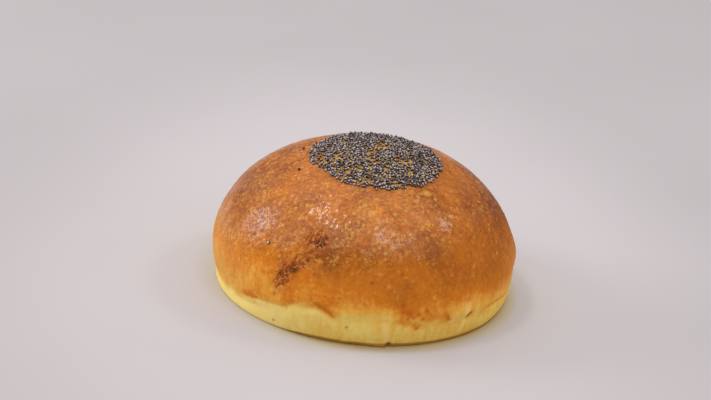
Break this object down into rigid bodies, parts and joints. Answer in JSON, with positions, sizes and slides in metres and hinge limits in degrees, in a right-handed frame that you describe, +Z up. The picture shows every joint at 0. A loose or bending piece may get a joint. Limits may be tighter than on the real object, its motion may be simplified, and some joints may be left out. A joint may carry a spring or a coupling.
{
  "type": "bread roll",
  "caption": "Round glossy bread roll, a low dome with a pale soft foot and a flat underside, with a round patch of poppy seeds on its crown.",
  "frame": {"origin": "centre of the flat underside that the roll rests on", "axes": "+Z up through the crown; -Y is the front, the side that the seed patch leans towards; +X is to the right of someone who faces the front"},
  "size_m": [0.0903, 0.0898, 0.0436],
  "materials": {
    "crust": "satin",
    "poppy_seed": "matte"
  },
  "bodies": {
    "root": {"roll": "crust", "poppy_seed_patch": "poppy_seed", "stray_seed_1": "poppy_seed", "stray_seed_2": "poppy_seed", "stray_seed_3": "poppy_seed"}
  },
  "joints": []
}
